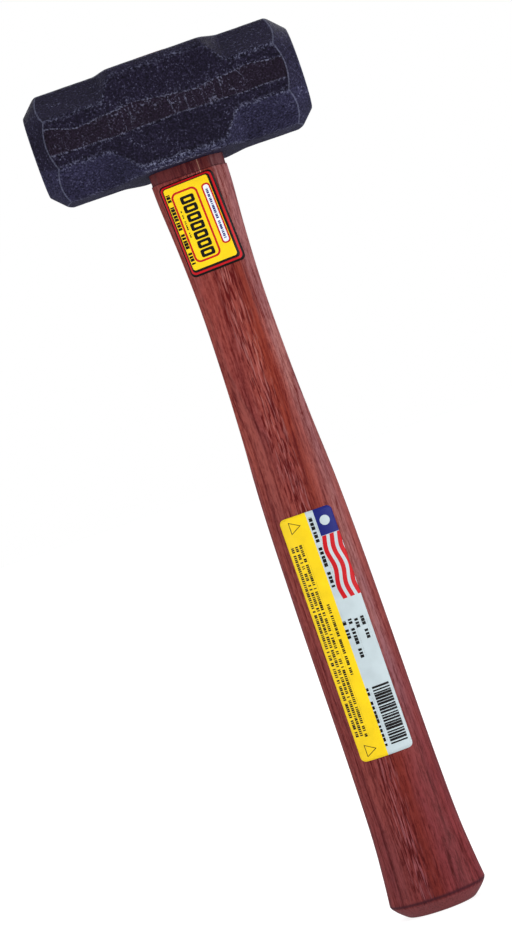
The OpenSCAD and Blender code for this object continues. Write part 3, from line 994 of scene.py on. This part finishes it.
def label_sheet(label, name, node_name, wood, turn):
    """A sheet with round corners, laid on the wood's front and given its thickness outwards."""
    low, high = [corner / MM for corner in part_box(node_name)]
    slope, round_off = math.tan(turn), 2 * label.corner / MM
    reach = [high[k] - low[k] - round_off for k in (0, 2)]
    width, height = [(reach[i] - reach[1 - i] * slope) / (1 - slope ** 2) + round_off for i in (0, 1)]
    bm = bmesh.new()
    bmesh.ops.create_grid(bm, x_segments=1, y_segments=1, size=0.5)
    bmesh.ops.scale(bm, vec=(width, height, 1), verts=bm.verts)
    bmesh.ops.bevel(bm, geom=bm.verts[:], offset=label.corner / MM, offset_type="OFFSET",
                    segments=6, profile=0.5, affect="VERTICES", material=-1)
    for axis, span, spacing in ((0, width, 0.7), (1, height, 1.6)):
        normal = Vector((1 - axis, axis, 0))
        for cut in steps(-span / 2, span / 2, spacing)[1:-1]:
            bmesh.ops.bisect_plane(bm, geom=bm.verts[:] + bm.edges[:] + bm.faces[:],
                                   plane_co=normal * cut, plane_no=normal)
    flat = bm.loops.layers.uv.new("print")
    for face in bm.faces:
        for loop in face.loops:
            loop[flat].uv = loop.vert.co.xy
    tree = BVHTree.FromObject(wood, bpy.context.evaluated_depsgraph_get())
    middle = (low + high) / 2
    for vertex in bm.verts:
        x = middle.x + vertex.co.x - vertex.co.y * slope
        z = middle.z + vertex.co.y + vertex.co.x * slope
        hit, normal, _, _ = tree.ray_cast(Vector((x, -100, z)) * MM, Vector((0, 1, 0)))
        if hit is None:
            raise RuntimeError(f"{name} reaches past the edge of the wood")
        vertex.co = hit + normal * LABEL_GAP * MM
    piece = object_from(bm, name)
    paper = piece.modifiers.new("paper", "SOLIDIFY")
    paper.thickness = label.paper
    paper.offset = 1
    piece.data.shade_smooth()
    return piece, (width, height)


class HAMMER_OT_labels(bpy.types.Operator):
    """Stick the two printed labels on the front of the handle"""

    bl_idname = "hammer.labels"
    bl_label = "Stick labels"

    def execute(self, context):
        label = context.scene.hammer_label
        wood = bpy.data.objects["hickory_handle"]
        rows = (("neck_sticker", "neck_label", "yellow_label", label.turn, neck_print),
                ("grip_sticker", "grip_label", "white_label", 0.0, grip_print))
        for name, node_name, slot, turn, design in rows:
            piece, size = label_sheet(label, name, node_name, wood, turn)
            paper = printed_paper(f"printed_paper_{slot}", design, label, size)
            settle(piece, slot, paper, node_name)
        return {"FINISHED"}


# The stage

def area_light(name, place, target, size, power):
    """A soft box that faces a point."""
    data = bpy.data.lights.new(name, "AREA")
    data.shape = "RECTANGLE"
    data.size, data.size_y = size
    data.energy = power
    lamp = bpy.data.objects.new(name, data)
    bpy.context.scene.collection.objects.link(lamp)
    lamp.location = place
    lamp.rotation_euler = (Vector(target) - Vector(place)).to_track_quat("-Z", "Y").to_euler()


def white_room(world):
    """White to the camera, and a dim even room to everything else."""
    world.use_nodes = True
    tree = world.node_tree
    tree.nodes.clear()
    seen = node(tree, "Background", (grey(1.0), 1.0))
    dim = node(tree, "Background", ((0.86, 0.9, 1.0, 1), 0.45))
    camera_ray = node(tree, "LightPath", give="Is Camera Ray")
    node(tree, "OutputWorld", (node(tree, "MixShader", (camera_ray, dim, seen)),))


class HAMMER_OT_stage(bpy.types.Operator):
    """Lay the floor, hang the lights and set up the camera"""

    bl_idname = "hammer.stage"
    bl_label = "Set stage"

    def execute(self, context):
        stage, scene = context.scene.hammer_stage, context.scene
        scene.view_settings.view_transform = "Standard"
        scene.world = bpy.data.worlds.new("room")
        white_room(scene.world)

        bm = bmesh.new()
        bmesh.ops.create_grid(bm, x_segments=4, y_segments=4, size=60)
        floor = object_from(bm, "floor")
        material, tree, shader = new_material("frosted_light_table")
        fill(tree, shader, {"Base Color": stage.floor, "Roughness": 0.9, "Specular IOR Level": 0.1,
                            "Emission Color": grey(1.0), "Emission Strength": stage.glow})
        floor.data.materials.append(material)
        floor.visible_glossy = False

        sun = bpy.data.lights.new("ceiling", "SUN")
        sun.energy = 1.2
        sun.angle = math.radians(100)
        lamp = bpy.data.objects.new("ceiling", sun)
        scene.collection.objects.link(lamp)
        area_light("box_right", (1.3, -0.75, 0.35), (0, 0, 0.3), (0.8, 1.2), 24)
        area_light("box_left", (-1.4, -0.75, 0.3), (0, 0, 0.2), (0.8, 1.6), 16)
        area_light("box_back", (0.3, 1.5, 1.3), (0, 0, 0.2), (2.0, 1.0), 20)

        camera = bpy.data.objects.new("camera", bpy.data.cameras.new("camera"))
        scene.collection.objects.link(camera)
        camera.data.lens = stage.lens
        across = Vector((math.cos(stage.roll), 0, -math.sin(stage.roll)))
        upward = Vector((math.sin(stage.roll), 0, math.cos(stage.roll)))
        back = Vector((0, -1, 0))
        turned = Matrix((across, upward, back)).transposed().to_4x4()
        camera.matrix_world = Matrix.Translation((stage.aside, -stage.distance, stage.height)) @ turned
        scene.camera = camera
        return {"FINISHED"}


class HAMMER_PT_panel(bpy.types.Panel):
    """Lists the hammer's pieces and its stage"""

    bl_label = "Engineer's hammer"
    bl_idname = "HAMMER_PT_panel"
    bl_space_type = "VIEW_3D"
    bl_region_type = "UI"
    bl_category = "Hammer"

    def draw(self, context):
        for operator in OPERATORS:
            self.layout.operator(operator.bl_idname)
        for name in SETTINGS:
            group = getattr(context.scene, name)
            box = self.layout.box()
            for prop in group.bl_rna.properties:
                if prop.identifier not in ("name", "rna_type"):
                    box.prop(group, prop.identifier)


SETTINGS = {
    "hammer_head": HeadSettings,
    "hammer_handle": HandleSettings,
    "hammer_label": LabelSettings,
    "hammer_stage": StageSettings,
}
OPERATORS = [HAMMER_OT_stage, HAMMER_OT_head, HAMMER_OT_handle, HAMMER_OT_wedges, HAMMER_OT_labels]


def register():
    for group in (*SETTINGS.values(), *OPERATORS, HAMMER_PT_panel):
        bpy.utils.register_class(group)
    for name, group in SETTINGS.items():
        setattr(bpy.types.Scene, name, PointerProperty(type=group))


def unregister():
    for name in SETTINGS:
        delattr(bpy.types.Scene, name)
    for group in (HAMMER_PT_panel, *reversed(OPERATORS), *SETTINGS.values()):
        bpy.utils.unregister_class(group)


def main():
    register()
    bpy.ops.hammer.stage()
    bpy.ops.hammer.head()
    bpy.ops.hammer.handle()
    bpy.ops.hammer.wedges()
    bpy.ops.hammer.labels()


if __name__ == "__main__":
    main()
